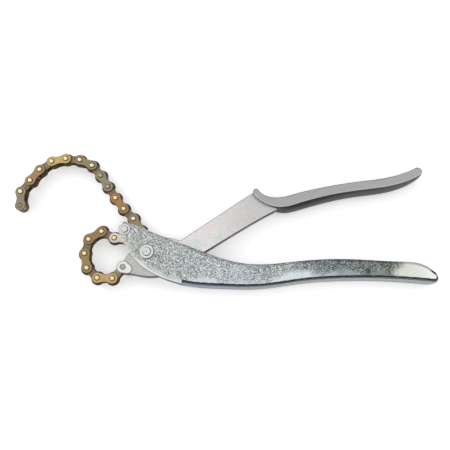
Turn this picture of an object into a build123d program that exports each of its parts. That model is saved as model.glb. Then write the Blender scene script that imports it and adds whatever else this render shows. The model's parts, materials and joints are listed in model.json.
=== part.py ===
from build123d import *
import os
from math import atan2, cos, degrees, pi, radians, sin

os.makedirs("parts", exist_ok=True)

# Chain-type tubing cutter, lying on its side. All sizes are millimetres.
# The origin is on the pivot axis, in the plane that the tool lies on.
# +X runs towards the handles, +Y is the lever's side, +Z points up.

# Thicknesses across the tool
SHEET = 3.2  # steel sheet of the outer handle
LEVER_PLATE = 10.0  # thickness of the forged lever
CHEEK_CLEARANCE = 0.3  # between the lever and each cheek
CHEEK_GAP = LEVER_PLATE + 2 * CHEEK_CLEARANCE
HANDLE_WIDTH = CHEEK_GAP + 2 * SHEET
GRIP_WIDTH = HANDLE_WIDTH  # the grip lies level with the handle
MID = HANDLE_WIDTH / 2  # height of the chain's middle plane

# Chain
PIN_RADIUS = 1.85
BUSH_WALL = 0.8
PIN_CLEARANCE = 0.05  # radial, pin in bush
WHEEL_CLEARANCE = 0.06  # radial, cutter wheel on bush
SIDE_GAP = 0.1  # between plates and between plate and wheel
PLATE = 1.0  # thickness of every chain plate
PLATE_END_RADIUS = 4.7
PLATE_WAIST = 6.6  # width of a plate halfway between its pins
WHEEL_RADIUS = 6.0
WHEEL_THICKNESS = 3.4
WHEEL_HUB_WALL = 0.5  # flat ring round the bore, beside the ground edge
WHEEL_SPACING = 0.7  # between the edges of neighbouring wheels
PITCH = 2 * WHEEL_RADIUS + WHEEL_SPACING

# The chain repeats often, so its hidden rounds and its plates' ends have few sides
END_SIDES = 12
FLANK_SIDES = 4
PIN_SIDES = 16
WHEEL_SIDES = 24

# Heading of each link in degrees, from the jaw to the chain's open end.
# The loop lies round the tube's place, and the held link sits in the head.
LOOP_HEADINGS = [228, 178, 138, 103, 78, 33, -27, -7]
HELD_HEADINGS = [39]
TAIL_HEADINGS = [123, 135, 128, 125, 124, 131, 155, 175, 192, 218, 234, 235, 275]
HEADINGS = LOOP_HEADINGS + HELD_HEADINGS + TAIL_HEADINGS
HELD_JOINT = len(LOOP_HEADINGS)  # number of the pin that rests against the head pin
HELD_SIDE = -68.4  # direction from the head pin to that pin, in degrees
HELD_ROOM = 0.4  # between the head pin and the edge of that pin's wheel

# Pivot of the lever
PIVOT_RADIUS = 3.0
PIVOT_CLEARANCE = 0.06
PIVOT_HEAD_RADIUS = 3.9
PIVOT_HEAD_HEIGHT = 0.9
COLLAR_RADIUS = 6.3
COLLAR_THICKNESS = 1.2
COLLAR_BEVEL = 0.4
FLUSH_SPREAD = 1.8  # how far a flush rivet end spreads beyond its shank, and its depth
CAP_BEVEL = 0.5  # share of a cap's height that is bevelled off
UPWARDS = (Align.CENTER, Align.CENTER, Align.MIN)

# Pin through the tip of the head, which the chain passes round
HEAD_PIN = (-19.7, 19.4)
HEAD_PIN_RADIUS = 2.1
HEAD_PIN_HEAD_RADIUS = 3.1
HEAD_PIN_HEAD_HEIGHT = 0.9
RING_RADIUS = 5.0
RING_THICKNESS = 0.5

# Anchor rivet on the jaw
ANCHOR_HEAD_RADIUS = 2.5
ANCHOR_HEAD_HEIGHT = 0.5
FORK_CLEARANCE = 0.15  # between the chain's end link and the fork's cheeks
FORK_CHEEK = 2.5  # thickness of each fork cheek
FORK_RADIUS = 5.2
FORK_TOE = (3.9, -1.8)  # second centre of the drop-shaped cheek, from the anchor
FORK_TOE_RADIUS = 4.0
SLOT_ROOM = 0.6  # round the end of the link, in the fork's slot

# Outer handle, seen from above
BEND_RADIUS = 4.2  # outside of the bend between wall and web
WEB_START = 30.0  # the web runs from here to the handle's end
BLANK_TOP = 45.0  # height of the blank before its rim is trimmed
HANDLE_END = 245.0
END_CORNER_RADIUS = 4.8
HEAD_BEVEL = 1.1  # along the front edge of the cheeks
TIP_RADIUS = 4.5

# Lever
HUB_RADIUS = 11.0
JAW_CORNER = (-16.1, -1.4)  # where the jaw's face meets its fork
ARM_SHOULDER = (27.7, 10.2)  # where the arm's straight upper edge begins

# Half thicknesses of the chain's layers, from the middle plane outwards
WHEEL_HALF = WHEEL_THICKNESS / 2
INNER_PLATE_IN = WHEEL_HALF + SIDE_GAP
INNER_PLATE_OUT = INNER_PLATE_IN + PLATE
OUTER_PLATE_IN = INNER_PLATE_OUT + SIDE_GAP
OUTER_PLATE_OUT = OUTER_PLATE_IN + PLATE
BUSH_BORE = PIN_RADIUS + PIN_CLEARANCE
BUSH_RADIUS = BUSH_BORE + BUSH_WALL
WHEEL_BORE = BUSH_RADIUS + WHEEL_CLEARANCE
FORK_IN = INNER_PLATE_OUT + FORK_CLEARANCE
FORK_OUT = FORK_IN + FORK_CHEEK


def around(centre, radius, degrees):
    """Point at a distance and direction from a centre."""
    turn = radians(degrees)
    return (centre[0] + radius * cos(turn), centre[1] + radius * sin(turn))


def chain_joints():
    """Places of all pins, from the jaw's anchor to the chain's open end."""
    held = around(HEAD_PIN, HEAD_PIN_RADIUS + HELD_ROOM + WHEEL_RADIUS, HELD_SIDE)
    places = [held]
    for heading in reversed(HEADINGS[:HELD_JOINT]):
        places.insert(0, around(places[0], -PITCH, heading))
    for heading in HEADINGS[HELD_JOINT:]:
        places.append(around(places[-1], PITCH, heading))
    return places


JOINTS = chain_joints()
ANCHOR = JOINTS[0]


def link_plane(number):
    """Plane in the middle of a link, with X along the link from its first pin."""
    heading = HEADINGS[number - 1]
    x, y = around(JOINTS[number - 1], PITCH / 2, heading)
    along = (*around((0, 0), 1, heading), 0)
    return Plane(origin=(x, y, MID), x_dir=along, z_dir=(0, 0, 1))


def waisted_corners():
    """Corners of a chain plate: two round ends joined by hollow flanks."""
    half = PITCH / 2
    shrink = PLATE_END_RADIUS - PLATE_WAIST / 2
    hollow = (half**2 - shrink**2) / (2 * shrink)  # from the long axis to a flank's centre
    flank_radius = hollow - PLATE_WAIST / 2
    touch = degrees(atan2(hollow, -half))  # direction in which an end meets its flank
    corners = []
    for side in (1, -1):
        for step in range(END_SIDES + 1):
            turn = touch * (2 * step / END_SIDES - 1)
            corners.append(around((half, 0), PLATE_END_RADIUS, turn))
        for step in range(1, FLANK_SIDES):
            turn = touch - 180 + (180 - 2 * touch) * step / FLANK_SIDES
            corners.append(around((0, hollow), flank_radius, turn))
        if side > 0:
            first_half = corners
            corners = []
    return first_half + [(-x, -y) for x, y in corners]


PLATE_CORNERS = waisted_corners()
END_SPOTS = [(-PITCH / 2, 0), (PITCH / 2, 0)]


def outer_link(number, open_end=False):
    """Two outer plates with their pins. The open end has a free hole instead of a pin."""
    plane = link_plane(number)
    pin_spots = END_SPOTS[:1] if open_end else END_SPOTS
    with BuildPart() as link:
        for height in (-OUTER_PLATE_OUT, OUTER_PLATE_IN):
            with BuildSketch(plane.offset(height)):
                Polygon(*PLATE_CORNERS, align=None)
            extrude(amount=PLATE)
        with BuildSketch(plane):
            with Locations(*pin_spots):
                RegularPolygon(PIN_RADIUS, PIN_SIDES)
        extrude(amount=OUTER_PLATE_IN, both=True)
        if open_end:
            with BuildSketch(plane):
                with Locations(END_SPOTS[1]):
                    Circle(BUSH_BORE)
            extrude(amount=OUTER_PLATE_OUT, both=True, mode=Mode.SUBTRACT)
    return link.part


def inner_link(number):
    """Two inner plates, joined by the bushes that are pressed into them."""
    plane = link_plane(number)
    with BuildPart() as link:
        for height in (-INNER_PLATE_OUT, INNER_PLATE_IN):
            with BuildSketch(plane.offset(height)):
                Polygon(*PLATE_CORNERS, align=None)
            extrude(amount=PLATE)
        with BuildSketch(plane):
            with Locations(*END_SPOTS):
                RegularPolygon(BUSH_RADIUS, PIN_SIDES)
        extrude(amount=INNER_PLATE_IN, both=True)
        with BuildSketch(plane):
            with Locations(*END_SPOTS):
                Circle(BUSH_BORE)
        extrude(amount=INNER_PLATE_OUT, both=True, mode=Mode.SUBTRACT)
    return link.part


def cutter_wheel(number):
    """A disc ground to a sharp edge from both sides, which turns on a bush of the chain."""
    plane = Plane(origin=(*JOINTS[number], MID))
    across_flats = cos(pi / WHEEL_SIDES)
    grind = (WHEEL_RADIUS - WHEEL_BORE - WHEEL_HUB_WALL) * across_flats
    with BuildPart() as wheel:
        with BuildSketch(plane):
            RegularPolygon(WHEEL_RADIUS, WHEEL_SIDES)
        extrude(amount=WHEEL_HALF, taper=degrees(atan2(grind, WHEEL_HALF)))
        mirror(about=plane)
        with BuildSketch(plane):
            RegularPolygon(WHEEL_BORE, WHEEL_SIDES, major_radius=False)
        extrude(amount=WHEEL_HALF, both=True, mode=Mode.SUBTRACT)
    return wheel.part


for number in range(1, len(HEADINGS) + 1):
    if number % 2:
        link = inner_link(number)
    else:
        link = outer_link(number, open_end=number == len(HEADINGS))
    link.label = f"chain_link_{number:02d}"
    export_step(link, f"parts/chain_link_{number:02d}.step")

for number in range(1, len(HEADINGS)):
    wheel = cutter_wheel(number)
    wheel.label = f"cutter_wheel_{number:02d}"
    export_step(wheel, f"parts/cutter_wheel_{number:02d}.step")


# Outer handle: a bent channel whose walls run on as the two cheeks of the head


WEB_POINTS = [
    (WEB_START - 15, -21.9),
    (WEB_START, -26.9),
    (62, -30.0),
    (94, -30.4),
    (130, -25.8),
    (164, -23.4),
    (200, -23.5),
    (HANDLE_END, -26.9),
]


def channel_side(inset):
    """Face of the channel seen from above, with its web and end moved in by the inset."""
    end = HANDLE_END - inset
    with BuildSketch() as side:
        with BuildLine():
            web = Spline(*[(min(x, end), y + inset) for x, y in WEB_POINTS])
            Polyline(web @ 1, (end, BLANK_TOP), (WEB_START - 15, BLANK_TOP), web @ 0)
        make_face()
        fillet(side.vertices().group_by(Axis.X)[-1].sort_by(Axis.Y)[0], END_CORNER_RADIUS - inset)
    return side.sketch


with BuildSketch() as rim_shape:
    # everything above the rim, which is trimmed off the blank
    with BuildLine():
        straight = Line((-60, 42.5), (52, -1.7))
        saddle = Spline(
            straight @ 1,
            (90, -10.6),
            (130, -7.7),
            (172, -6.2),
            (212, -8.2),
            (237, -13.4),
            (243, -18.4),
            (HANDLE_END + 1, -26),
            tangents=(straight % 1, (0.05, -1)),
        )
        far = HANDLE_END + 40
        Polyline(saddle @ 1, (far, -26), (far, 90), (-60, 90), straight @ 0)
    make_face()

with BuildSketch() as head_shape:
    with BuildLine():
        tip = Polyline((-5, 35), (-25, 35), (-25, 20.5))
        front = Spline(
            tip @ 1,
            (-22.3, 11.8),
            (-13.4, -1.9),
            (-3.2, -12.2),
            (10.2, -20.2),
            (WEB_START, -26.9),
            tangents=((0, -1), (0.95, -0.28)),
        )
        Polyline(front @ 1, (WEB_START, 35), (-5, 35))
    make_face()

with BuildPart() as outer_handle:
    with BuildSketch(Plane.XY):
        add(channel_side(0))
    extrude(amount=HANDLE_WIDTH)
    wrap = outer_handle.faces().filter_by(Axis.Z).edges().filter_by(
        lambda e: (e @ 0.5).Y < -15 or (e @ 0.5).X > HANDLE_END - 1
    )
    fillet(wrap, BEND_RADIUS)
    with BuildSketch(Plane.XY.offset(SHEET)):
        add(channel_side(SHEET))
        with Locations((WEB_START - 10, 10)):
            Rectangle(40, 66)
        with Locations((120, BLANK_TOP)):
            Rectangle(240, 20)
    extrude(amount=CHEEK_GAP, mode=Mode.SUBTRACT)
    split(bisect_by=Plane.YZ.offset(WEB_START), keep=Keep.TOP)
    for level in (0, SHEET + CHEEK_GAP):
        with BuildSketch(Plane.XY.offset(level)):
            add(head_shape.sketch)
        extrude(amount=SHEET)
    with BuildSketch(Plane.XY):
        add(rim_shape.sketch)
    extrude(amount=HANDLE_WIDTH, mode=Mode.SUBTRACT)
    tip_corners = outer_handle.edges().filter_by(Axis.Z).group_by(Axis.X)[0]
    fillet(tip_corners.filter_by(lambda e: (e @ 0.5).Y > HEAD_PIN[1] + 5), TIP_RADIUS)
    for level in (0, HANDLE_WIDTH):
        rims = outer_handle.edges().filter_by_position(Axis.Z, level, level)
        front_rims = rims.filter_by(
            lambda e: (e @ 0.5).X < WEB_START - 1 and (e @ 0.5).Y < 15 - (e @ 0.5).X * 0.4
        )
        chamfer(front_rims, HEAD_BEVEL)
    for spot, shank in (((0, 0), PIVOT_RADIUS), (HEAD_PIN, HEAD_PIN_RADIUS)):
        with Locations((*spot, 0)):
            Cylinder(shank, HANDLE_WIDTH, align=UPWARDS, mode=Mode.SUBTRACT)
            Cone(shank + FLUSH_SPREAD, shank, FLUSH_SPREAD, align=UPWARDS, mode=Mode.SUBTRACT)
outer_handle.part.label = "outer_handle"
export_step(outer_handle.part, "parts/outer_handle.step")


# Pivot rivet and head pin, each with a flush end in the far cheek and a cap on the near one


def through_rivet(spot, shank, cap_level, cap_radius, cap_height):
    """A rivet from its flush far end to its raised cap."""
    with BuildPart() as rivet:
        with Locations((*spot, 0)):
            Cone(shank + FLUSH_SPREAD, shank, FLUSH_SPREAD, align=UPWARDS)
            Cylinder(shank, cap_level, align=UPWARDS)
        with Locations((*spot, cap_level)):
            Cylinder(cap_radius, cap_height, align=UPWARDS)
        chamfer(rivet.edges().group_by(Axis.Z)[-1], cap_height * CAP_BEVEL)
    return rivet.part


pivot_rivet = through_rivet(
    (0, 0), PIVOT_RADIUS, HANDLE_WIDTH + COLLAR_THICKNESS, PIVOT_HEAD_RADIUS, PIVOT_HEAD_HEIGHT
)
pivot_rivet.label = "pivot_rivet"
export_step(pivot_rivet, "parts/pivot_rivet.step")

with BuildPart() as pivot_collar:
    with BuildSketch(Plane.XY.offset(HANDLE_WIDTH)):
        Circle(COLLAR_RADIUS)
        Circle(PIVOT_RADIUS, mode=Mode.SUBTRACT)
    extrude(amount=COLLAR_THICKNESS)
    chamfer(pivot_collar.edges().group_by(Axis.Z)[-1].sort_by(SortBy.LENGTH)[-1], COLLAR_BEVEL)
pivot_collar.part.label = "pivot_collar"
export_step(pivot_collar.part, "parts/pivot_collar.step")

head_pin = through_rivet(
    HEAD_PIN,
    HEAD_PIN_RADIUS,
    HANDLE_WIDTH + RING_THICKNESS,
    HEAD_PIN_HEAD_RADIUS,
    HEAD_PIN_HEAD_HEIGHT,
)
head_pin.label = "head_pin"
export_step(head_pin, "parts/head_pin.step")

with BuildPart() as head_pin_ring:
    with BuildSketch(Plane.XY.offset(HANDLE_WIDTH)):
        with Locations(HEAD_PIN):
            Circle(RING_RADIUS)
            Circle(HEAD_PIN_RADIUS, mode=Mode.SUBTRACT)
    extrude(amount=RING_THICKNESS)
head_pin_ring.part.label = "head_pin_ring"
export_step(head_pin_ring.part, "parts/head_pin_ring.step")


# Lever: one forging with a forked jaw, a hub on the pivot, an arm and a broad grip

TOE = (ANCHOR[0] + FORK_TOE[0], ANCHOR[1] + FORK_TOE[1])

PALM_POINTS = [
    (94.8, 55.6),
    (101.2, 49.7),
    (113.5, 48.0),
    (128, 51.6),
    (146, 56.0),
    (180.4, 62.2),
    (204, 65.3),
    (235, 75.6),
]
# The grip's underside, and how far it bulges there in the middle of its width
UNDERSIDE = [
    (239.8, 70.2, 1.5),
    (204, 57.7, 3.3),
    (180, 54.4, 3.3),
    (146, 47.7, 4.3),
    (130, 43.0, 4.3),
    (117, 39.7, 3.2),
    (106.5, 40.8, 1.0),
    (97, 45.3, 0),
    (90.6, 52.0, 0),
]

with BuildPart() as grip:
    for level, share in ((0, 0), (MID, 1), (GRIP_WIDTH, 0)):
        with BuildSketch(Plane.XY.offset(level)):
            with BuildLine():
                inner = Spline(*[(x, y - share * bulge) for x, y, bulge in UNDERSIDE])
                ThreePointArc(inner @ 1, (91.6, 55.6), PALM_POINTS[0])
                palm = Spline(*PALM_POINTS)
                ThreePointArc(palm @ 1, (239.5, 73.7), inner @ 0)
            make_face()
    loft()

with BuildPart() as lever:
    with BuildSketch(Plane.XY.offset(MID)):
        with BuildLine():
            hub = ThreePointArc(*[around((0, 0), HUB_RADIUS, turn) for turn in (88, 115, 138)])
            jaw = Polyline(
                hub @ 1,
                JAW_CORNER,
                around(ANCHOR, FORK_RADIUS, 84),
                ANCHOR,
                around(TOE, FORK_TOE_RADIUS, -90),
            )
            belly = Spline(
                jaw @ 1,
                (-6.5, -19.7),
                (4.0, -20.6),
                (16.0, -18.4),
                (32.0, -9.4),
                (48.5, 0.9),
                tangents=((1, 0.02), (0.85, 0.53)),
            )
            underside = Spline(
                belly @ 1, (86.0, 24.3), (101.7, 33.4), (116.0, 40.9), tangents=(belly % 1, (1, 0.5))
            )
            upper = Polyline(underside @ 1, (116, 44), (96, 50), (90.4, 53.3), ARM_SHOULDER)
            RadiusArc(upper @ 1, hub @ 0, -40)
        make_face()
    extrude(amount=LEVER_PLATE / 2, both=True)
    with BuildSketch(Plane.XY.offset(MID)):
        with Locations(ANCHOR):
            Circle(FORK_RADIUS)
        with Locations(TOE):
            Circle(FORK_TOE_RADIUS)
        make_hull()
    extrude(amount=FORK_OUT, both=True)
    with BuildSketch(Plane.XY.offset(MID)):
        with Locations(ANCHOR, JOINTS[1]):
            Circle(PLATE_END_RADIUS + SLOT_ROOM)
        make_hull()
    extrude(amount=FORK_IN, both=True, mode=Mode.SUBTRACT)
    with BuildSketch(Plane.XY.offset(MID)):
        Circle(PIVOT_RADIUS + PIVOT_CLEARANCE)
        with Locations(ANCHOR):
            Circle(PIN_RADIUS)
    extrude(amount=FORK_OUT, both=True, mode=Mode.SUBTRACT)
    add(grip.part)
lever.part.label = "lever"
export_step(lever.part, "parts/lever.step")

with BuildPart() as anchor_rivet:
    with Locations((*ANCHOR, MID)):
        Cylinder(PIN_RADIUS, 2 * FORK_OUT)
    for side in (1, -1):
        with Locations((*ANCHOR, MID + side * (FORK_OUT + ANCHOR_HEAD_HEIGHT / 2))):
            Cylinder(ANCHOR_HEAD_RADIUS, ANCHOR_HEAD_HEIGHT)
anchor_rivet.part.label = "anchor_rivet"
export_step(anchor_rivet.part, "parts/anchor_rivet.step")
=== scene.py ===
"""Chain-type tubing cutter, lying on a white table as in the photograph.

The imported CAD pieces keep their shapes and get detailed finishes. The domed
pin heads of the chain and the stage around the tool are modelled here. All
places and sizes are in metres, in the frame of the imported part: the origin
is on the lever's pivot axis, at table level.
"""

import json
import logging
import math
from dataclasses import dataclass, field
from enum import Enum

import bpy
from mathutils import Euler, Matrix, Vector

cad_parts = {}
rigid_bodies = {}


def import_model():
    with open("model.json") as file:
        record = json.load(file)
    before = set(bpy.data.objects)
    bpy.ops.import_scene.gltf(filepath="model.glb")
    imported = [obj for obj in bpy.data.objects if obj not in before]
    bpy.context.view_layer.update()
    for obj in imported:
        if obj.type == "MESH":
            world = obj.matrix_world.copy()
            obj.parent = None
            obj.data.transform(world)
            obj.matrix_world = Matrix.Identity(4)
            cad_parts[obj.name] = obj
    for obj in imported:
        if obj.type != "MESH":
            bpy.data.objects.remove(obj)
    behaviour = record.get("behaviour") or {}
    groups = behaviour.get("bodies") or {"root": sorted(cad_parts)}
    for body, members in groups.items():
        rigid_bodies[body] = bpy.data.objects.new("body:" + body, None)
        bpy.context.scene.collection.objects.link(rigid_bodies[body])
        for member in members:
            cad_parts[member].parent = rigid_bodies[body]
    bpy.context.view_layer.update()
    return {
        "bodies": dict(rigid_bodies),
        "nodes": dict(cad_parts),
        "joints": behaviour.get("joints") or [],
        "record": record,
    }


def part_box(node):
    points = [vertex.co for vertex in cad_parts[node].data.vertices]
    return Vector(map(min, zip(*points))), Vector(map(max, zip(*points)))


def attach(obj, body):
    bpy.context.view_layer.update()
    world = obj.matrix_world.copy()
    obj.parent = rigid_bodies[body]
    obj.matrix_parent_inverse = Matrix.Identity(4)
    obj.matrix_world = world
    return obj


LOG = logging.getLogger("cutter")

Colour = tuple[float, float, float, float]
Stop = tuple[float, Colour]
Socket = bpy.types.NodeSocket


def srgb(red: int, green: int, blue: int) -> Colour:
    """Turn a display colour into the linear colour that shaders take.

    Args:
        red: Red from 0 to 255.
        green: Green from 0 to 255.
        blue: Blue from 0 to 255.

    Returns:
        The linear colour with full alpha.
    """

    def linear(value: int) -> float:
        share = value / 255
        return share / 12.92 if share <= 0.04045 else ((share + 0.055) / 1.055) ** 2.4

    return (linear(red), linear(green), linear(blue), 1.0)


def mixed(first: Colour, second: Colour, share: float) -> Colour:
    """Blend two colours.

    Args:
        first: Colour at share 0.
        second: Colour at share 1.
        share: Position between them.

    Returns:
        The colour in between.
    """
    parts = [a + (b - a) * share for a, b in zip(first, second)]
    return (parts[0], parts[1], parts[2], parts[3])


class Tree:
    """A node tree that is filled with short calls."""

    def __init__(self, tree: bpy.types.NodeTree) -> None:
        self.tree = tree
        self.column = 0

    def node(self, kind: str, **settings: object) -> bpy.types.Node:
        """Add a node.

        Args:
            kind: Node type, such as ShaderNodeMath.
            **settings: Properties of the node.

        Returns:
            The new node.
        """
        made = self.tree.nodes.new(kind)
        made.location = (self.column * 180, 0)
        self.column += 1
        for name, value in settings.items():
            setattr(made, name, value)
        return made

    def feed(self, target: Socket, source: object) -> None:
        """Set an input from a socket or a constant.

        Args:
            target: The input.
            source: An output socket, or the value the input keeps.
        """
        if isinstance(source, Socket):
            self.tree.links.new(source, target)
        else:
            target.default_value = source

    def maths(self, operation: str, first: object, second: object = 0.0) -> Socket:
        """Work out one value from two.

        Args:
            operation: Name of the operation, such as MULTIPLY.
            first: First operand.
            second: Second operand.

        Returns:
            The result.
        """
        made = self.node("ShaderNodeMath", operation=operation)
        self.feed(made.inputs[0], first)
        self.feed(made.inputs[1], second)
        return made.outputs[0]

    def times(self, first: object, second: object) -> Socket:
        """Multiply two values.

        Args:
            first: First factor.
            second: Second factor.

        Returns:
            The product.
        """
        return self.maths("MULTIPLY", first, second)

    def split(self, vector: Socket) -> tuple[Socket, Socket, Socket]:
        """Take a vector apart.

        Args:
            vector: The vector.

        Returns:
            Its X, Y and Z.
        """
        made = self.node("ShaderNodeSeparateXYZ")
        self.feed(made.inputs[0], vector)
        return made.outputs["X"], made.outputs["Y"], made.outputs["Z"]

    def over(self, tone: object, colour: object, mask: object, share: float) -> Socket:
        """Lay a colour over another where a mask says so.

        Args:
            tone: The colour below.
            colour: The colour on top.
            mask: Where it lies, from 0 to 1.
            share: How much it covers there.

        Returns:
            The colour seen.
        """
        return self.blend(self.times(mask, share), tone, colour)

    def blend(self, share: object, first: object, second: object) -> Socket:
        """Mix two colours.

        Args:
            share: How much of the second colour.
            first: Colour at share 0.
            second: Colour at share 1.

        Returns:
            The mixed colour.
        """
        made = self.node("ShaderNodeMix", data_type="RGBA", clamp_factor=True)
        self.feed(made.inputs["Factor"], share)
        self.feed(made.inputs[6], first)
        self.feed(made.inputs[7], second)
        return made.outputs[2]

    def spread(self, value: object, low: float, high: float, to_low: float = 0.0,
               to_high: float = 1.0) -> Socket:
        """Stretch a range of values onto another range, without going past its ends.

        Args:
            value: The value.
            low: Lower end of its range.
            high: Upper end of its range.
            to_low: What the lower end becomes.
            to_high: What the upper end becomes.

        Returns:
            The stretched value.
        """
        made = self.node("ShaderNodeMapRange", clamp=True)
        for name, source in (("Value", value), ("From Min", low), ("From Max", high),
                             ("To Min", to_low), ("To Max", to_high)):
            self.feed(made.inputs[name], source)
        return made.outputs["Result"]

    def ramp(self, value: object, stops: list[Stop], smooth: bool = True) -> Socket:
        """Look a colour up in a ramp.

        Args:
            value: Position on the ramp.
            stops: Positions and their colours, in order.
            smooth: Whether the colours ease into each other.

        Returns:
            The colour.
        """
        made = self.node("ShaderNodeValToRGB")
        ramp = made.color_ramp
        ramp.interpolation = "EASE" if smooth else "LINEAR"
        ramp.elements[0].position, ramp.elements[0].color = stops[0]
        ramp.elements[1].position, ramp.elements[1].color = stops[-1]
        for place, colour in stops[1:-1]:
            ramp.elements.new(place).color = colour
        self.feed(made.inputs["Fac"], value)
        return made.outputs["Color"]

    def noise(self, at: Socket, scale: float, detail: float = 3.0,
              roughness: float = 0.5, distortion: float = 0.0) -> Socket:
        """Sample cloudy noise.

        Args:
            at: Coordinates.
            scale: Waves per metre.
            detail: Octaves.
            roughness: Weight of the finer octaves.
            distortion: How far the noise is warped.

        Returns:
            The noise from 0 to 1.
        """
        made = self.node("ShaderNodeTexNoise")
        self.feed(made.inputs["Vector"], at)
        made.inputs["Scale"].default_value = scale
        made.inputs["Detail"].default_value = detail
        made.inputs["Roughness"].default_value = roughness
        made.inputs["Distortion"].default_value = distortion
        return made.outputs["Fac"]

    def stretched(self, at: Socket, turn: float, factors: Vector) -> Socket:
        """Turn coordinates about Z and stretch them.

        Args:
            at: Coordinates.
            turn: Turn about Z in degrees.
            factors: Factor along each axis.

        Returns:
            The new coordinates.
        """
        made = self.node("ShaderNodeMapping", vector_type="POINT")
        self.feed(made.inputs["Vector"], at)
        made.inputs["Rotation"].default_value = (0, 0, math.radians(turn))
        made.inputs["Scale"].default_value = factors
        return made.outputs["Vector"]


class Effect(Enum):
    """Shared node groups, by name."""

    SPANGLE = "Zinc spangle"
    BRUSHED = "Brushed streaks"
    SCRATCHES = "Fine scratches"
    # mask for painted shade and highlights along edges, and for the ground edges of the wheels
    EDGES = "Worn edges"


class Effects:
    """Builds each shared node group once and puts it into materials."""

    def __init__(self) -> None:
        self.groups: dict[Effect, bpy.types.NodeTree] = {}

    def _start(self, effect: Effect, inputs: dict[str, float]) -> tuple[Tree, dict[str, Socket]]:
        """Open a new group with float inputs and a Value output.

        Args:
            effect: Which group.
            inputs: Names of its inputs with their defaults.

        Returns:
            The tree, and the sockets of the inputs by name.
        """
        group = bpy.data.node_groups.new(effect.value, "ShaderNodeTree")
        group.interface.new_socket("Vector", in_out="INPUT", socket_type="NodeSocketVector")
        for name, value in inputs.items():
            socket = group.interface.new_socket(
                name, in_out="INPUT", socket_type="NodeSocketFloat")
            socket.default_value = value
        group.interface.new_socket("Value", in_out="OUTPUT", socket_type="NodeSocketFloat")
        if effect is Effect.EDGES:
            group.interface.new_socket("Lean", in_out="OUTPUT", socket_type="NodeSocketVector")
        self.groups[effect] = group
        tree = Tree(group)
        start = tree.node("NodeGroupInput")
        return tree, {socket.name: socket for socket in start.outputs}

    @staticmethod
    def _end(tree: Tree, value: Socket) -> bpy.types.Node:
        """Close a group.

        Args:
            tree: The group's tree.
            value: What it gives out.

        Returns:
            The output node, for what else it gives out.
        """
        end = tree.node("NodeGroupOutput")
        tree.feed(end.inputs["Value"], value)
        return end

    def build(self) -> None:
        """Make all groups."""
        self._spangle()
        self._brushed()
        self._scratches()
        self._edges()

    def _spangle(self) -> None:
        """Crystalline mottling of plated sheet, with crisp grains of light and dark."""
        tree, given = self._start(Effect.SPANGLE, {"Grains per metre": 900.0, "Softness": 0.3})
        cells = tree.node("ShaderNodeTexVoronoi", feature="F1")
        tree.feed(cells.inputs["Vector"], given["Vector"])
        tree.feed(cells.inputs["Scale"], given["Grains per metre"])
        split = tree.node("ShaderNodeSeparateColor")
        tree.feed(split.inputs[0], cells.outputs["Color"])
        fine = tree.node("ShaderNodeTexNoise")
        tree.feed(fine.inputs["Vector"], given["Vector"])
        tree.feed(fine.inputs["Scale"], tree.times(given["Grains per metre"], 0.8))
        fine.inputs["Detail"].default_value = 4.0
        fine.inputs["Roughness"].default_value = 0.65
        grain = tree.spread(fine.outputs["Fac"], 0.32, 0.68)
        both = tree.node("ShaderNodeMix", data_type="FLOAT")
        tree.feed(both.inputs["Factor"], given["Softness"])
        tree.feed(both.inputs[2], split.outputs["Red"])
        tree.feed(both.inputs[3], grain)
        self._end(tree, both.outputs[0])

    def _brushed(self) -> None:
        """Streaks along X, for coordinates that are already turned to the brushing."""
        tree, given = self._start(Effect.BRUSHED, {"Streaks per metre": 2600.0})
        mapped = tree.stretched(given["Vector"], 0, Vector((0.035, 1, 0.6)))
        streaks = tree.node("ShaderNodeTexNoise")
        tree.feed(streaks.inputs["Vector"], mapped)
        tree.feed(streaks.inputs["Scale"], given["Streaks per metre"])
        streaks.inputs["Detail"].default_value = 3.0
        self._end(tree, tree.spread(streaks.outputs["Fac"], 0.3, 0.7))

    def _scratches(self) -> None:
        """Sparse hairline scratches in two directions."""
        tree, given = self._start(Effect.SCRATCHES, {"Amount": 0.5})
        marks = []
        for turn, scale in ((31.0, 900.0), (-52.0, 700.0)):
            mapped = tree.stretched(given["Vector"], turn, Vector((0.04, 1, 1)))
            lines = tree.noise(mapped, scale, detail=1.0)
            marks.append(tree.spread(lines, 0.7, 0.76))
        strongest = tree.maths("MAXIMUM", marks[0], marks[1])
        self._end(tree, tree.times(strongest, given["Amount"]))

    def _edges(self) -> None:
        """How near a sharp edge is, and its lean, from what a bevel does to the normal."""
        tree, given = self._start(Effect.EDGES, {"Width": 0.0004})
        bevel = tree.node("ShaderNodeBevel", samples=6)
        tree.feed(bevel.inputs["Radius"], given["Width"])
        flat = tree.node("ShaderNodeNewGeometry")
        same = tree.node("ShaderNodeVectorMath", operation="DOT_PRODUCT")
        tree.feed(same.inputs[0], bevel.outputs["Normal"])
        tree.feed(same.inputs[1], flat.outputs["Normal"])
        end = self._end(tree, tree.spread(same.outputs["Value"], 0.998, 0.92))
        tree.feed(end.inputs["Lean"], bevel.outputs["Normal"])

    def use(self, tree: Tree, effect: Effect, at: Socket, **inputs: float) -> Socket:
        """Put a group into a material.

        Args:
            tree: The material's tree.
            effect: Which group.
            at: Coordinates.
            **inputs: Values of its inputs, with underscores for spaces.

        Returns:
            The group's value.
        """
        made = tree.node("ShaderNodeGroup", node_tree=self.groups[effect])
        tree.feed(made.inputs["Vector"], at)
        for name, value in inputs.items():
            made.inputs[name.replace("_", " ")].default_value = value
        return made.outputs["Value"]

    def edges(self, tree: Tree, at: Socket, width: float) -> tuple[Socket, Socket]:
        """Put the group for edges into a material.

        Args:
            tree: The material's tree.
            at: Coordinates.
            width: How far the edges reach, in metres.

        Returns:
            How near an edge is, and how far it leans towards +Y.
        """
        near = self.use(tree, Effect.EDGES, at, Width=width)
        _, lean, _ = tree.split(near.node.outputs["Lean"])
        return near, lean


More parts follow.
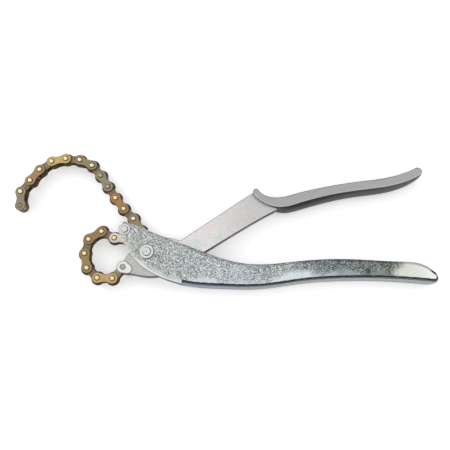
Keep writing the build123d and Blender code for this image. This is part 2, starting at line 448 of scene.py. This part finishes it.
@dataclass(frozen=True)
class Finish:
    """What all finishes share: a material with a Principled shader."""

    name: str
    effects: Effects
    roughness: float = 0.4
    metallic: float = 0.9

    def build(self) -> bpy.types.Material:
        """Make the material.

        Returns:
            The material, with its shader fed by the finish.
        """
        material = bpy.data.materials.new(self.name)
        material.use_nodes = True
        tree = Tree(material.node_tree)
        material.node_tree.nodes.clear()
        shader = tree.node("ShaderNodeBsdfPrincipled")
        shader.inputs["Metallic"].default_value = self.metallic
        shader.inputs["Roughness"].default_value = self.roughness
        at = tree.node("ShaderNodeTexCoord").outputs["Object"]
        self.dress(tree, shader, at)
        output = tree.node("ShaderNodeOutputMaterial")
        tree.feed(output.inputs["Surface"], shader.outputs["BSDF"])
        return material

    def dress(self, tree: Tree, shader: bpy.types.Node, at: Socket) -> None:
        """Feed the shader. Each kind of finish has its own way.

        Args:
            tree: The material's tree.
            shader: Its Principled shader.
            at: Object coordinates.
        """
        raise NotImplementedError

    @staticmethod
    def facing(tree: Tree) -> Socket:
        """How far the surface faces up or down.

        Args:
            tree: The material's tree.

        Returns:
            0 for a side wall and 1 for a flat face.
        """
        geometry = tree.node("ShaderNodeNewGeometry")
        _, _, up = tree.split(geometry.outputs["True Normal"])
        return tree.maths("ABSOLUTE", up)

    @staticmethod
    def bump(tree: Tree, shader: bpy.types.Node, height: Socket, depth: float,
             strength: float = 1.0) -> None:
        """Give the surface relief.

        Args:
            tree: The material's tree.
            shader: Its Principled shader.
            height: Height from 0 to 1.
            depth: What height 1 means, in metres.
            strength: How strongly the relief shows.
        """
        relief = tree.node("ShaderNodeBump")
        relief.inputs["Distance"].default_value = depth
        relief.inputs["Strength"].default_value = strength
        tree.feed(relief.inputs["Height"], height)
        tree.feed(shader.inputs["Normal"], relief.outputs["Normal"])


@dataclass(frozen=True)
class ZincSheet(Finish):
    """Bright zinc on the outer handle: speckled above, smooth and bluish towards the bend."""

    upper: tuple[Stop, ...] = (
        (0.00, srgb(196, 196, 190)),
        (0.10, srgb(178, 181, 176)),
        (0.24, srgb(176, 184, 184)),
        (0.36, srgb(186, 193, 196)),
        (0.50, srgb(168, 176, 178)),
        (0.60, srgb(124, 133, 134)),
        (0.72, srgb(88, 98, 100)),
        (0.85, srgb(88, 94, 82)),
        (0.90, srgb(226, 229, 218)),
        (1.00, srgb(246, 248, 246)),
    )
    lower: tuple[Stop, ...] = (
        (0.00, srgb(206, 206, 200)),
        (0.15, srgb(214, 220, 222)),
        (0.40, srgb(226, 235, 243)),
        (0.58, srgb(226, 233, 238)),
        (0.72, srgb(168, 178, 180)),
        (0.85, srgb(128, 136, 130)),
        (0.90, srgb(228, 231, 220)),
        (1.00, srgb(246, 248, 244)),
    )
    # Lower edge of the speckles: place from start to end as 0 to 1, and mm above skirt_low
    skirt: tuple[tuple[float, float], ...] = (
        (0.0, 42.0), (0.10, 20.0), (0.16, 16.0), (0.24, 13.0), (0.36, 10.0), (0.46, 10.0),
        (0.57, 14.0), (0.70, 18.0), (0.84, 18.0), (1.0, 15.0),
    )
    skirt_low: float = -0.04
    skirt_rise: float = 0.06
    start: float = -0.03
    end: float = 0.245
    grains_per_metre: float = 1350.0
    web_start: float = 0.03
    web_step: float = 0.0005
    # top edge and softness of the painted shade on the bend
    bend_top: float = -0.0155
    bend_soft: float = 0.001
    edge_width: float = 0.0018
    chamfer_metallic: float = 0.1
    shade: Colour = srgb(56, 66, 62)
    shine: Colour = srgb(252, 254, 254)
    haze: Colour = srgb(232, 238, 242)
    # painted shade: dark colour laid on the rim, the bend and the head's side walls
    painted_shade: Colour = srgb(52, 60, 66)
    # painted highlight: near-white colour laid on the head's bevel
    bevel: Colour = srgb(252, 252, 252)
    web_near: Colour = srgb(166, 175, 192)
    web_far: Colour = srgb(190, 195, 195)

    def dress(self, tree: Tree, shader: bpy.types.Node, at: Socket) -> None:
        """Speckle the walls, and leave them smooth near the bend and at the end.

        Args:
            tree: The material's tree.
            shader: Its Principled shader.
            at: Object coordinates.
        """
        x, y, _ = tree.split(at)
        wander = tree.noise(at, 45.0, detail=2.0)
        drift = tree.spread(wander, 0.3, 0.7, -0.006, 0.006)
        along = tree.spread(tree.maths("ADD", x, drift), self.start, self.end)
        smooth = self.smoothness(tree, y, along, drift)
        upper, lower = (tree.ramp(along, list(stops)) for stops in (self.upper, self.lower))
        tone = tree.blend(smooth, upper, lower)

        grains = self.effects.use(
            tree, Effect.SPANGLE, at, Grains_per_metre=self.grains_per_metre, Softness=0.62)
        clouds = tree.noise(at, 160.0, detail=3.0, roughness=0.6)
        quiet = tree.spread(along, 0.865, 0.905, 1.0, 0.1)
        calm = tree.times(tree.spread(smooth, 0, 1, 1.0, 0.22), quiet)
        dark = tree.times(tree.spread(grains, 0.5, 0.24), calm)
        light = tree.times(tree.spread(grains, 0.56, 0.76), calm)
        tone = tree.over(tone, self.shade, dark, 0.84)
        sparkle = tree.spread(along, 0.5, 0.7, 0.9, 0.5)
        tone = tree.blend(tree.times(light, sparkle), tone, self.shine)
        misty = tree.times(tree.spread(clouds, 0.5, 0.75), calm)
        tone = tree.over(tone, self.haze, misty, 0.22)
        tree.feed(shader.inputs["Base Color"], self.outline(tree, tone, x, y, at))
        tree.feed(shader.inputs["Metallic"], self.metallic_share(tree, x))

        scratches = self.effects.use(tree, Effect.SCRATCHES, at, Amount=0.35)
        rough = tree.spread(grains, 0, 1, self.roughness + 0.08, self.roughness - 0.08)
        worn = tree.maths("SUBTRACT", rough, tree.times(scratches, 0.2))
        tree.feed(shader.inputs["Roughness"], worn)
        height = tree.maths("SUBTRACT", tree.times(grains, calm), scratches)
        self.bump(tree, shader, height, 0.00002, 0.5)

    def smoothness(self, tree: Tree, y: Socket, along: Socket, drift: Socket) -> Socket:
        """Find the smooth stretch between the speckles and the bend.

        Args:
            tree: The material's tree.
            y: Place across the handle.
            along: Place along the handle, from 0 to 1.
            drift: How far the border wanders.

        Returns:
            1 where the sheet is smooth and 0 where it is speckled.
        """
        full = 1000 * self.skirt_rise
        stops = [(place, (level / full,) * 3 + (1.0,)) for place, level in self.skirt]
        edge = tree.ramp(along, stops, smooth=False)
        level = tree.spread(edge, 0, 1, self.skirt_low, self.skirt_low + self.skirt_rise)
        above = tree.maths("ADD", tree.maths("SUBTRACT", y, level), drift)
        return tree.spread(above, 0.004, 0.0085, 1.0, 0.0)

    def on_head(self, tree: Tree, x: Socket) -> Socket:
        """Tell the head from the part of the handle that has a web.

        Args:
            tree: The material's tree.
            x: Place along the handle.

        Returns:
            1 on the head and 0 past the web's start.
        """
        return tree.spread(x, self.web_start + self.web_step, self.web_start - self.web_step)

    def metallic_share(self, tree: Tree, x: Socket) -> Socket:
        """How metallic the sheet is: less on the head's bevel, which catches the light.

        Args:
            tree: The material's tree.
            x: Place along the handle.

        Returns:
            The shader's Metallic.
        """
        flat = self.facing(tree)
        slanted = tree.times(tree.spread(flat, 0.97, 0.9), tree.spread(flat, 0.4, 0.55))
        chamfer = tree.times(slanted, self.on_head(tree, x))
        return tree.spread(chamfer, 0, 1, self.metallic, self.chamfer_metallic)

    def outline(self, tree: Tree, tone: Socket, x: Socket, y: Socket, at: Socket) -> Socket:
        """Paint shade on the bend, on the cut edges and along the rim, and paint a highlight on the
        bevel of the head.

        Args:
            tree: The material's tree.
            tone: Colour of the flat walls.
            x: Place along the handle.
            y: Place across the handle.
            at: Object coordinates.

        Returns:
            The colour with its outlines.
        """
        none, full = (0, 0, 0, 1), (1, 1, 1, 1)
        flat = self.facing(tree)
        near, lean = self.effects.edges(tree, at, self.edge_width)
        # painted shade along the rim: edges that lean towards +Y are darkened
        rim = tree.times(near, tree.spread(lean, -0.1, 0.35))
        tone = tree.over(tone, self.painted_shade, rim, 0.9)
        web = tree.blend(tree.spread(x, 0.02, 0.13), self.web_near, self.web_far)
        # painted shade on the bend: a dark band where the wall turns towards the web, below
        # bend_top
        bend_shade = tree.ramp(flat, [
            (0.0, none), (0.76, none), (0.84, full), (0.97, full), (0.995, none), (1.0, none),
        ], smooth=False)
        low = tree.spread(y, self.bend_top, self.bend_top - self.bend_soft)
        shaft = tree.blend(tree.spread(flat, 0.86, 0.78), tone, web)
        shaft = tree.blend(tree.times(bend_shade, low), shaft, self.painted_shade)
        # painted highlight on the head's bevel
        head = tree.blend(tree.spread(flat, 0.9, 0.8), tone, self.bevel)
        # painted shade on the head's side walls
        head = tree.blend(tree.spread(flat, 0.5, 0.3), head, self.painted_shade)
        return tree.blend(self.on_head(tree, x), shaft, head)


@dataclass(frozen=True)
class ForgedSteel(Finish):
    """Plated forging: a satin arm, brushed along the grip, with painted shade on the faces that
    turn away from the top.
    """

    arm: Colour = srgb(236, 236, 234)
    blush: Colour = srgb(238, 230, 231)
    moss: Colour = srgb(212, 220, 216)
    jaw: Colour = srgb(190, 193, 188)
    grip: Colour = srgb(168, 169, 168)
    # painted shade: colour of the side faces, with a faint brushed streak
    shaded_flank: Colour = srgb(96, 98, 98)
    # painted shade: dark colour laid on the edges that lean towards +Y and on the jaw's edges
    painted_shade: Colour = srgb(70, 70, 72)
    boss: Colour = srgb(240, 240, 236)
    pit: Colour = srgb(120, 128, 126)
    glint: Colour = srgb(246, 246, 246)
    streak: Colour = srgb(206, 207, 206)
    shaded_flank_streak: Colour = srgb(130, 131, 131)
    lit_edge: Colour = srgb(252, 252, 252)
    boss_top: tuple[float, float] = (0.01372, 0.01388)
    grip_top: tuple[float, float] = (0.0162, 0.0165)
    grip_turn: float = -12.0
    edge_width: float = 0.0015

    def dress(self, tree: Tree, shader: bpy.types.Node, at: Socket) -> None:
        """Cloud the arm and the boss, and brush the grip.

        Args:
            tree: The material's tree.
            shader: Its Principled shader.
            at: Object coordinates.
        """
        x, _, z = tree.split(at)
        clouds = tree.noise(at, 55.0, detail=3.0, roughness=0.55)
        grains = self.effects.use(
            tree, Effect.SPANGLE, at, Grains_per_metre=1500.0, Softness=0.8)
        tone = tree.blend(tree.spread(clouds, 0.42, 0.62), self.blush, self.arm)
        tone = tree.over(tone, self.moss, tree.spread(clouds, 0.56, 0.72), 0.8)
        tone = tree.blend(tree.spread(x, 0.03, 0.0), tone, self.jaw)
        tone = tree.over(tone, self.jaw, tree.spread(x, 0.055, 0.09), 0.6)
        tone = tree.over(tone, self.pit, tree.spread(grains, 0.5, 0.2), 0.3)
        tone = tree.over(tone, self.glint, tree.spread(grains, 0.55, 0.85), 0.55)
        on_boss = tree.times(tree.spread(z, *self.boss_top), tree.spread(x, 0.05, 0.04))
        boss = tree.blend(tree.spread(clouds, 0.35, 0.65), self.boss, self.blush)
        tone = tree.blend(on_boss, tone, boss)

        on_grip = tree.spread(z, *self.grip_top)
        along = tree.stretched(at, self.grip_turn, Vector((1, 1, 1)))
        streaks = self.effects.use(tree, Effect.BRUSHED, along, Streaks_per_metre=2300.0)
        tone = tree.blend(on_grip, tone, tree.over(self.grip, self.streak, streaks, 0.45))
        # painted shade on the side faces
        side = tree.spread(self.facing(tree), 0.9, 0.7)
        tone = tree.blend(side, tone, tree.over(self.shaded_flank, self.shaded_flank_streak, streaks, 0.3))
        tree.feed(shader.inputs["Base Color"], self.outline(tree, tone, x, at))

        scratches = self.effects.use(tree, Effect.SCRATCHES, at, Amount=0.4)
        rough = tree.spread(streaks, 0, 1, self.roughness + 0.06, self.roughness - 0.06)
        worn = tree.maths("SUBTRACT", rough, tree.times(scratches, 0.15))
        tree.feed(shader.inputs["Roughness"], worn)
        height = tree.maths("ADD", grains, tree.times(streaks, on_grip))
        height = tree.maths("SUBTRACT", height, scratches)
        self.bump(tree, shader, height, 0.000015, 0.45)

    def outline(self, tree: Tree, tone: Socket, x: Socket, at: Socket) -> Socket:
        """Paint a highlight on the arm's edges towards the light and paint shade on the others.

        Args:
            tree: The material's tree.
            tone: Colour without outlines.
            x: Place along the lever.
            at: Object coordinates.

        Returns:
            The colour with its outlines.
        """
        near, lean = self.effects.edges(tree, at, self.edge_width)
        # painted highlight on the arm's edges that lean towards -Y
        lit = tree.times(tree.spread(lean, 0.0, -0.35), tree.spread(x, 0.0, 0.02))
        tone = tree.over(tone, self.lit_edge, tree.times(near, lit), 0.7)
        # painted shade on edges that lean towards +Y and on the jaw's edges
        shaded_edge = tree.maths("MAXIMUM", tree.spread(lean, 0.0, 0.35), tree.spread(x, 0.02, 0.0))
        return tree.over(tone, self.painted_shade, tree.times(near, shaded_edge), 0.9)


@dataclass(frozen=True)
class PlatedRivet(Finish):
    """Bright plated rivets, collars and rings, turned on their faces."""

    tone: Colour = srgb(226, 227, 224)
    shade: Colour = srgb(150, 152, 150)
    centre: Vector = field(default_factory=lambda: Vector((0, 0, 0)))
    # painted shade: dark colour laid on the outline and the side walls
    painted_shade: Colour = srgb(84, 86, 86)
    outline: float = 0.0011
    # strength of the painted shade in the dimple at the centre
    dimple_shade: float = 0.0

    def dress(self, tree: Tree, shader: bpy.types.Node, at: Socket) -> None:
        """Turn faint rings about the centre, with blots, painted shade along the outline and on the
        side walls, and painted shade in the dimple at the centre.

        Args:
            tree: The material's tree.
            shader: Its Principled shader.
            at: Object coordinates.
        """
        moved = tree.node("ShaderNodeVectorMath", operation="SUBTRACT")
        tree.feed(moved.inputs[0], at)
        moved.inputs[1].default_value = self.centre
        rings = tree.node("ShaderNodeTexWave", wave_type="RINGS", rings_direction="Z")
        tree.feed(rings.inputs["Vector"], moved.outputs[0])
        rings.inputs["Scale"].default_value = 420.0
        rings.inputs["Distortion"].default_value = 1.2
        blots = tree.noise(at, 700.0, detail=4.0, roughness=0.6)
        tone = tree.over(self.tone, self.shade, tree.spread(blots, 0.5, 0.75), 0.5)
        if self.outline > 0:
            # painted shade along the outline
            near, _ = self.effects.edges(tree, at, self.outline)
            tone = tree.over(tone, self.painted_shade, near, 0.85)
        # painted shade on the side walls
        tone = tree.blend(tree.spread(self.facing(tree), 0.45, 0.1), tone, self.painted_shade)
        # painted shade in the dimple at the centre
        x, y, _ = tree.split(moved.outputs[0])
        squares = tree.maths("ADD", tree.maths("POWER", x, 2.0), tree.maths("POWER", y, 2.0))
        dimple_shade_mask = tree.spread(tree.maths("SQRT", squares), 0.001, 0.0004)
        tone = tree.over(tone, self.shade, dimple_shade_mask, self.dimple_shade)
        tree.feed(shader.inputs["Base Color"], tone)
        rough = tree.spread(blots, 0.3, 0.7, self.roughness - 0.07, self.roughness + 0.1)
        tree.feed(shader.inputs["Roughness"], rough)
        height = tree.maths("ADD", tree.times(rings.outputs["Fac"], 0.4), blots)
        self.bump(tree, shader, height, 0.00002, 0.4)


@dataclass(frozen=True)
class Chromate(Finish):
    """Yellow-chromated zinc on a chain plate, uneven in hue, with grime and painted shade along its
    rims and side walls.
    """

    tone: Colour = srgb(168, 140, 84)
    second: Colour = srgb(140, 122, 82)
    # grime on dark grains, and painted shade on the rims and side walls
    grime_and_shade: Colour = srgb(46, 36, 26)

    dust: Colour = srgb(240, 225, 190)

    def dress(self, tree: Tree, shader: bpy.types.Node, at: Socket) -> None:
        """Mix the two hues, dust them, and paint grime and shade on the rims and the side walls.

        Args:
            tree: The material's tree.
            shader: Its Principled shader.
            at: Object coordinates.
        """
        clouds = tree.noise(at, 210.0, detail=3.0, roughness=0.6, distortion=0.4)
        fine = self.effects.use(tree, Effect.SPANGLE, at, Grains_per_metre=1900.0, Softness=0.9)
        tone = tree.blend(tree.spread(clouds, 0.4, 0.62), self.tone, self.second)
        pale = mixed(self.tone, self.dust, 0.5)
        tone = tree.over(tone, pale, tree.spread(fine, 0.6, 1.0), 0.25)
        tone = tree.over(tone, self.grime_and_shade, tree.spread(fine, 0.4, 0.05), 0.3)
        # painted shade on the side walls, and grime with painted shade along the edges
        side = tree.spread(self.facing(tree), 0.8, 0.4)
        near, _ = self.effects.edges(tree, at, 0.001)
        rim = tree.maths("MAXIMUM", tree.times(near, 0.85), tree.times(side, 0.9))
        tree.feed(shader.inputs["Base Color"], tree.blend(rim, tone, self.grime_and_shade))
        rough = tree.spread(clouds, 0.3, 0.7, self.roughness - 0.08, self.roughness + 0.1)
        tree.feed(shader.inputs["Roughness"], rough)
        self.bump(tree, shader, tree.maths("ADD", fine, clouds), 0.00002, 0.5)


@dataclass(frozen=True)
class CutterSteel(Finish):
    """Dark hardened steel of the wheels, ground bright at the cutting edge."""

    tone: Colour = srgb(70, 62, 50)
    ground: Colour = srgb(132, 122, 104)

    def dress(self, tree: Tree, shader: bpy.types.Node, at: Socket) -> None:
        """Blot the dark steel and brighten its edges.

        Args:
            tree: The material's tree.
            shader: Its Principled shader.
            at: Object coordinates.
        """
        blots = tree.noise(at, 500.0, detail=4.0, roughness=0.65)
        lines = self.effects.use(tree, Effect.BRUSHED, at, Streaks_per_metre=3200.0)
        tone = tree.over(self.tone, self.ground, tree.spread(blots, 0.45, 0.7), 0.55)
        near, _ = self.effects.edges(tree, at, 0.0004)
        tree.feed(shader.inputs["Base Color"], tree.over(tone, self.ground, near, 0.5))
        rough = tree.spread(lines, 0, 1, self.roughness - 0.06, self.roughness + 0.06)
        tree.feed(shader.inputs["Roughness"], rough)
        self.bump(tree, shader, tree.maths("ADD", blots, lines), 0.00001, 0.4)


class Mesh:
    """Small steps for modelling with operators."""

    @staticmethod
    def alone() -> None:
        """Leave nothing selected, so that an operator acts on its new object only."""
        bpy.ops.object.select_all(action="DESELECT")

    @staticmethod
    def joined(parts: list[bpy.types.Object], name: str) -> bpy.types.Object:
        """Join objects into one whose place is in its mesh.

        Args:
            parts: The objects.
            name: Name of the result.

        Returns:
            The one object.
        """
        Mesh.alone()
        for part in parts:
            part.select_set(True)
        bpy.context.view_layer.objects.active = parts[0]
        if len(parts) > 1:
            bpy.ops.object.join()
        made = bpy.context.view_layer.objects.active
        bpy.ops.object.transform_apply(location=True, rotation=True, scale=True)
        made.name = name
        made.data.name = name
        return made

    @staticmethod
    def paint(target: bpy.types.Object, material: bpy.types.Material) -> None:
        """Give an object one material.

        Args:
            target: The object.
            material: Its material.
        """
        if target.data.materials:
            for index in range(len(target.data.materials)):
                target.data.materials[index] = material
        else:
            target.data.materials.append(material)


@dataclass
class Assembly:
    """A sub-assembly of the tool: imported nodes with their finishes."""

    frame: dict
    effects: Effects

    def finish_nodes(self, names: list[str], finish: Finish) -> None:
        """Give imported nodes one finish.

        Args:
            names: The nodes.
            finish: Their finish.
        """
        material = finish.build()
        for name in names:
            Mesh.paint(self.frame["nodes"][name], material)
            LOG.info("%s: %s", name, finish.name)


@dataclass
class OuterHandle(Assembly):
    """The bent channel that ends in the two cheeks of the head."""

    def build(self) -> None:
        """Finish the handle."""
        zinc = ZincSheet("Zinc sheet", self.effects, roughness=0.34, metallic=0.92)
        self.finish_nodes(["outer_handle"], zinc)


@dataclass
class Lever(Assembly):
    """The forged lever and the rivet that holds the chain in its jaw."""

    anchor: Vector = field(default_factory=lambda: Vector((-0.0203, -0.0124, 0)))

    def build(self) -> None:
        """Finish the lever and its rivet."""
        forging = ForgedSteel("Forged steel", self.effects, roughness=0.38, metallic=0.9)
        self.finish_nodes(["lever"], forging)
        self.finish_nodes(["anchor_rivet"], PlatedRivet(
            "Anchor rivet", self.effects, 0.36, 0.9,
            tone=srgb(176, 174, 172), shade=srgb(110, 106, 104), centre=self.anchor))


@dataclass
class Pivots(Assembly):
    """The pivot rivet with its collar, and the head pin with its ring."""

    head_pin: Vector = field(default_factory=lambda: Vector((-0.0197, 0.0194, 0)))

    def build(self) -> None:
        """Finish the rivets."""
        bright = srgb(228, 229, 226)
        self.finish_nodes(["pivot_rivet"], PlatedRivet(
            "Pivot rivet", self.effects, 0.3, 0.9,
            tone=bright, shade=srgb(150, 152, 150), outline=0.0012, dimple_shade=0.8))
        self.finish_nodes(["pivot_collar"], PlatedRivet(
            "Pivot collar", self.effects, 0.3, 0.9,
            tone=srgb(236, 237, 234), shade=srgb(170, 172, 170),
            painted_shade=srgb(54, 58, 58), outline=0.0014))
        self.finish_nodes(["head_pin", "head_pin_ring"], PlatedRivet(
            "Head pin", self.effects, 0.3, 0.9,
            tone=bright, shade=srgb(160, 162, 160), centre=self.head_pin))


class Tint(Enum):
    """Hues that the chain's chromate has taken, as a main and a second colour."""

    GOLD = (srgb(186, 162, 92), srgb(200, 170, 130))
    OLIVE = (srgb(150, 138, 92), srgb(158, 132, 92))
    MOSS = (srgb(142, 138, 96), srgb(140, 122, 112))
    BROWN = (srgb(164, 128, 90), srgb(146, 126, 92))
    ORANGE = (srgb(176, 130, 84), srgb(158, 128, 92))
    GREY = (srgb(154, 144, 118), srgb(146, 134, 112))
    DULL = (srgb(138, 118, 94), srgb(124, 110, 94))
    SILVER = (srgb(232, 220, 208), srgb(208, 200, 192))


@dataclass
class Chain(Assembly):
    """The chain: its links, its cutter wheels and the domed heads of its pins."""

    links: int = 22
    rim_radius: float = 0.0024
    rim_height: float = 0.00025
    rim_rounding: float = 0.5
    dome_radius: float = 0.0018
    head_height: float = 0.0006
    dome_rounding: float = 0.6
    cap_sides: int = 28
    smooth_angle: float = 50.0
    dull_heads: tuple[int, ...] = (14,)
    outer_face: float = 0.0039  # from the chain's middle plane to its outer plates' faces
    middle: float = 0.0085  # height of that plane above the table
    tints: dict[int, Tint] = field(default_factory=lambda: {
        1: Tint.GREY, 2: Tint.GOLD, 4: Tint.OLIVE, 6: Tint.BROWN, 8: Tint.SILVER, 10: Tint.GREY,
        12: Tint.ORANGE, 14: Tint.GREY, 16: Tint.MOSS, 18: Tint.GOLD, 20: Tint.BROWN, 22: Tint.MOSS,
    })

    def build(self) -> None:
        """Finish the links and wheels, and make the pin heads."""
        self._links()
        self._wheels()
        self._pin_heads()

    def _links(self) -> None:
        """Give every link its hue."""
        for tint in Tint:
            names = [self.link(number) for number in range(1, self.links + 1)
                     if self.tints.get(number, Tint.DULL) is tint]
            if names:
                main, second = tint.value
                name = f"Chromate {tint.name.lower()}"
                self.finish_nodes(names, Chromate(name, self.effects, 0.4, 0.8, main, second))

    def _wheels(self) -> None:
        """Give the wheels their dark steel."""
        names = [f"cutter_wheel_{number:02d}" for number in range(1, self.links)]
        self.finish_nodes(names, CutterSteel("Cutter steel", self.effects, 0.42, 0.85))

    @staticmethod
    def link(number: int) -> str:
        """Name of a link's node.

        Args:
            number: The link, from the jaw.

        Returns:
            The name.
        """
        return f"chain_link_{number:02d}"

    def _pin_places(self, number: int) -> list[Vector]:
        """Where an outer link's pins are, in plan.

        Args:
            number: The link.

        Returns:
            One place for each pin.
        """
        wheels = [near for near in (number - 1, number) if 1 <= near < self.links]
        places = []
        for wheel in wheels:
            low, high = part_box(f"cutter_wheel_{wheel:02d}")
            places.append((Vector(low) + Vector(high)) / 2)
        return places

    def _pin_heads(self) -> None:
        """Model the riveted heads on both sides of every outer link."""
        # the domes' near-white tone is partly the pins' pale plating and partly a painted
        # highlight; painted shade on their side walls
        gold = PlatedRivet(
            "Pin domes", self.effects, 0.26, 0.8, tone=srgb(248, 232, 184),
            shade=srgb(214, 186, 126), painted_shade=srgb(128, 104, 66), outline=0.0).build()
        grey = PlatedRivet(
            "Dull pin domes", self.effects, 0.4, 0.8, tone=srgb(176, 168, 148),
            shade=srgb(140, 132, 114), painted_shade=srgb(110, 102, 84), outline=0.0).build()
        rims = Chromate(
            "Pin rims", self.effects, 0.4, 0.8, tone=srgb(160, 132, 84),
            second=srgb(140, 116, 78)).build()
        for number in range(2, self.links + 1, 2):
            heads = []
            for place in self._pin_places(number):
                for side in (1, -1):
                    rim = self._cap(
                        place, side, self.rim_radius, self.rim_height, self.rim_rounding)
                    Mesh.paint(rim, rims)
                    dome = self._cap(
                        place, side, self.dome_radius, self.head_height, self.dome_rounding)
                    Mesh.paint(dome, grey if number in self.dull_heads else gold)
                    heads += [rim, dome]
            joined = Mesh.joined(heads, f"pin_heads_{number:02d}")
            Mesh.alone()
            joined.select_set(True)
            bpy.context.view_layer.objects.active = joined
            bpy.ops.object.shade_smooth_by_angle(angle=math.radians(self.smooth_angle))
            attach(joined, f"link_{number:02d}")
            LOG.info("%s: %d pieces", joined.name, len(heads))

    def _cap(self, place: Vector, side: int, radius: float, height: float,
             rounding: float) -> bpy.types.Object:
        """Model a low round-edged cap on a plate of the chain.

        Args:
            place: Where its pin is.
            side: 1 for the near face of the chain, -1 for the far one.
            radius: Radius of the cap.
            height: Height above the plate.
            rounding: Share of the height that is rounded.

        Returns:
            The cap.
        """
        Mesh.alone()
        centre = self.middle + side * (self.outer_face + height / 2)
        bpy.ops.mesh.primitive_cylinder_add(
            vertices=self.cap_sides, radius=radius, depth=height,
            location=(place.x, place.y, centre))
        cap = bpy.context.active_object
        bpy.ops.object.mode_set(mode="EDIT")
        bpy.ops.mesh.select_all(action="SELECT")
        bpy.ops.mesh.bevel(offset=height * rounding, segments=3, profile=0.5)
        bpy.ops.object.mode_set(mode="OBJECT")
        return cap


@dataclass(frozen=True)
class Lamp:
    """A softbox: where it stands, how wide it is and how many watts it gives."""

    name: str
    place: tuple[float, float, float]
    size: float
    power: float


@dataclass
class Stage:
    """The table, the light and the camera."""

    look_from: Vector = field(default_factory=lambda: Vector((0.06598, -0.07407, 0.39296)))
    look_at: Vector = field(default_factory=lambda: Vector((0.06598, 0.02433, 0.0125)))
    lens: float = 36.32
    lamps_at: Vector = field(default_factory=lambda: Vector((0.06, 0.02, 0)))
    lamps: tuple[Lamp, ...] = (
        Lamp("key", (-1.2, 0.9, 0.9), 0.9, 7.0),
        Lamp("fill", (1.5, 0.1, 1.0), 0.8, 3.0),
    )
    sky: tuple[Stop, ...] = (
        (0.0, (0.02, 0.02, 0.022, 1)),
        (0.3, (0.05, 0.05, 0.055, 1)),
        (0.55, (0.75, 0.75, 0.76, 1)),
        (1.0, (0.93, 0.93, 0.93, 1)),
    )
    table_tone: Colour = (0.93, 0.93, 0.93, 1.0)
    table_size: float = 6.0
    table_glow: float = 0.35

    def build(self) -> None:
        """Set everything up around the tool."""
        self._table()
        self._sky()
        self._lamps()
        self._camera()

    def _table(self) -> None:
        """A plain white table that glows for the camera and keeps a faint shadow."""
        Mesh.alone()
        bpy.ops.mesh.primitive_plane_add(size=self.table_size, location=(0, 0, 0))
        table = bpy.context.active_object
        table.name = "table"
        material = bpy.data.materials.new("White table")
        material.use_nodes = True
        tree = Tree(material.node_tree)
        shader = material.node_tree.nodes["Principled BSDF"]
        shader.inputs["Base Color"].default_value = self.table_tone
        shader.inputs["Roughness"].default_value = 0.9
        shader.inputs["Specular IOR Level"].default_value = 0.0
        glow = tree.node("ShaderNodeEmission")
        glow.inputs["Color"].default_value = (1, 1, 1, 1)
        path = tree.node("ShaderNodeLightPath")
        seen = tree.times(path.outputs["Is Camera Ray"], self.table_glow)
        tree.feed(glow.inputs["Strength"], seen)
        both = tree.node("ShaderNodeAddShader")
        tree.feed(both.inputs[0], shader.outputs["BSDF"])
        tree.feed(both.inputs[1], glow.outputs["Emission"])
        output = material.node_tree.nodes["Material Output"]
        tree.feed(output.inputs["Surface"], both.outputs["Shader"])
        Mesh.paint(table, material)

    def _sky(self) -> None:
        """Light from above and from the left, dark near the horizon, white for the camera."""
        world = bpy.data.worlds.new("Studio")
        bpy.context.scene.world = world
        world.use_nodes = True
        tree = Tree(world.node_tree)
        world.node_tree.nodes.clear()
        at = tree.node("ShaderNodeTexCoord").outputs["Generated"]
        x, _, z = tree.split(at)
        sky = tree.ramp(z, list(self.sky))
        left = tree.spread(x, -0.35, -0.85)
        glow = tree.node("ShaderNodeBackground")
        path = tree.node("ShaderNodeLightPath")
        white = tree.maths("MAXIMUM", left, path.outputs["Is Camera Ray"])
        tree.feed(glow.inputs["Color"], tree.blend(white, sky, (1.0, 1.0, 1.0, 1)))
        glow.inputs["Strength"].default_value = 1.0
        output = tree.node("ShaderNodeOutputWorld")
        tree.feed(output.inputs["Surface"], glow.outputs["Background"])

    def _lamps(self) -> None:
        """Two wide softboxes."""
        for lamp in self.lamps:
            Mesh.alone()
            bpy.ops.object.light_add(type="AREA", location=lamp.place)
            made = bpy.context.active_object
            made.name = lamp.name
            made.data.size = lamp.size
            made.data.energy = lamp.power
            made.rotation_euler = self._aimed(Vector(lamp.place), self.lamps_at)

    @staticmethod
    def _aimed(place: Vector, target: Vector) -> Euler:
        """Turn something so that it looks at a point.

        Args:
            place: Where it is.
            target: The point.

        Returns:
            Its rotation.
        """
        return (target - place).to_track_quat("-Z", "Y").to_euler()

    def _camera(self) -> None:
        """The photograph's camera, steeply above the tool."""
        data = bpy.data.cameras.new("camera")
        data.sensor_fit = "HORIZONTAL"
        data.sensor_width = 36.0
        data.lens = self.lens
        data.clip_start = 0.01
        camera = bpy.data.objects.new("camera", data)
        bpy.context.scene.collection.objects.link(camera)
        camera.location = self.look_from
        camera.rotation_euler = self._aimed(self.look_from, self.look_at)
        bpy.context.scene.camera = camera
        bpy.context.scene.view_settings.view_transform = "Standard"


def main() -> None:
    """Build the scene in order: the tool, then the stage."""
    logging.basicConfig(level=logging.INFO, format="%(name)s: %(message)s")
    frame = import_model()
    effects = Effects()
    effects.build()
    OuterHandle(frame, effects).build()
    Lever(frame, effects).build()
    Pivots(frame, effects).build()
    Chain(frame, effects).build()
    Stage().build()
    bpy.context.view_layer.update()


if __name__ == "__main__":
    main()
